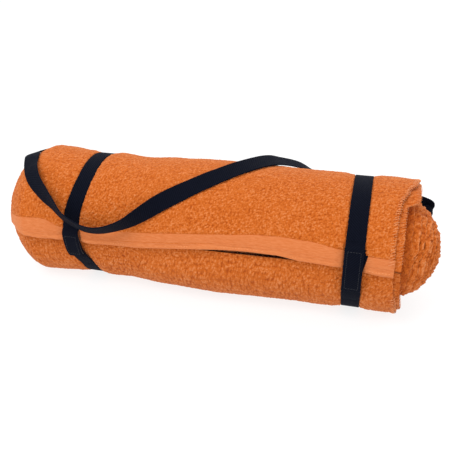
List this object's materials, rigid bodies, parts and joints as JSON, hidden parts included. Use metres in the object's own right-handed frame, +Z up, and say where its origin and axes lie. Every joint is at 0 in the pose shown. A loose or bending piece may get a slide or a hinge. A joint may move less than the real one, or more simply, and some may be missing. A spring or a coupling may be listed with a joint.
{
  "type": "rolled quick dry towel with carry strap",
  "caption": "Terry towel folded double and rolled up, held by hook-and-loop webbing bands, with a webbing carry strap.",
  "frame": {"origin": "middle of the flat underside of the roll, half way between the two bands", "axes": "+X along the roll towards the end whose inner turns push out, -Y to the front where the towel's free end lies, +Z up"},
  "size_m": [0.5147, 0.1873, 0.1608],
  "materials": {
    "terry": "looped cotton-blend pile, matt",
    "woven_border": "flat dobby weave, matt",
    "orange_thread": "sewing thread",
    "webbing": "woven polypropylene webbing, slight sheen",
    "hook_tape": "moulded hooks",
    "loop_tape": "brushed loops",
    "black_thread": "sewing thread"
  },
  "bodies": {
    "roll": {"terry_towel": "terry", "dobby_border": "woven_border", "end_hem": "woven_border", "inner_ply_hem": "woven_border", "end_hem_thread": "orange_thread", "outer_ply_overlock": "orange_thread", "inner_ply_overlock": "orange_thread", "left_band": "webbing", "left_loop_patch": "loop_tape", "left_strap_end": "webbing", "left_anchor_stitching": "black_thread", "right_band": "webbing", "right_loop_patch": "loop_tape", "right_strap_end": "webbing", "right_anchor_stitching": "black_thread"},
    "left_closure": {"left_flap": "webbing", "left_hook_patch": "hook_tape", "left_hook_stitching": "black_thread"},
    "right_closure": {"right_flap": "webbing", "right_hook_patch": "hook_tape", "right_hook_stitching": "black_thread"},
    "carry_strap_body": {"carry_strap": "webbing"}
  },
  "joints": [
    {"name": "carry_strap_swing", "type": "hinge", "parent": "roll", "child": "carry_strap_body", "pos_m": [0, 0.07866, 0.06762], "axis": [-1, 0, 0], "range_deg": [0, 110]},
    {"name": "left_closure_peel", "type": "hinge", "parent": "roll", "child": "left_closure", "pos_m": [-0.165, -0.07631, 0.08522], "axis": [-1, 0, 0], "range_deg": [0, 70]},
    {"name": "right_closure_peel", "type": "hinge", "parent": "roll", "child": "right_closure", "pos_m": [0.163, -0.07012, 0.10572], "axis": [-1, 0, 0], "range_deg": [0, 110]}
  ]
}
